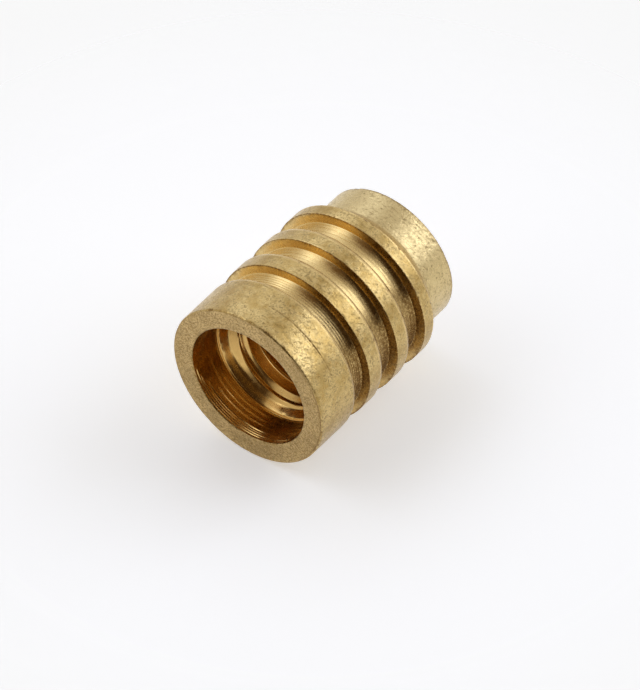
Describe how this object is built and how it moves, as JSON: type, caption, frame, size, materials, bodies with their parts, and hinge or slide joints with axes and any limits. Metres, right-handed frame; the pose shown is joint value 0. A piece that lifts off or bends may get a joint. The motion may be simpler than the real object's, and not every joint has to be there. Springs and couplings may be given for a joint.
{
  "type": "threaded insert",
  "caption": "Turned brass press-in threaded insert with a counterbored plain collar, barbs that grip a drilled hole, a narrower nose and a tapped through hole.",
  "frame": {"origin": "centre of the nose's end face, on the axis", "axes": "+Z along the axis from the nose to the collar's face, which is the way the screw leaves"},
  "size_m": [0.01, 0.01, 0.0127],
  "materials": {
    "brass": "turned, then tumbled to a satin sheen"
  },
  "bodies": {
    "root": {"insert_body": "brass"}
  },
  "joints": []
}
